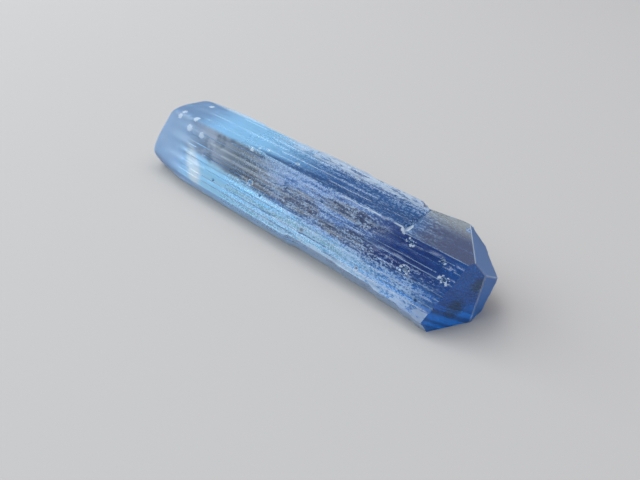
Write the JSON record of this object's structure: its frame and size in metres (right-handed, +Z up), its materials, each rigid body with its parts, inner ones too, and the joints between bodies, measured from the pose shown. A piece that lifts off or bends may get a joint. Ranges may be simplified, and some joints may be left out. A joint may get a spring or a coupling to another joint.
{
  "type": "aquamarine crystal",
  "caption": "Gem-clear blue aquamarine prism lying on a long face, striated lengthwise, with a rounded lumpy end and a slanting faceted end.",
  "frame": {"origin": "under the middle of the crystal's box, on the plane of the long face that it lies on", "axes": "+X along the crystal to its slanting faceted end, +Z up from the bed face, -Y to the side with the broad striated flank"},
  "size_m": [0.026, 0.0062, 0.0045],
  "materials": {
    "aquamarine": "clear natural crystal, striated and lightly etched"
  },
  "bodies": {
    "root": {"aquamarine_crystal": "aquamarine"}
  },
  "joints": []
}
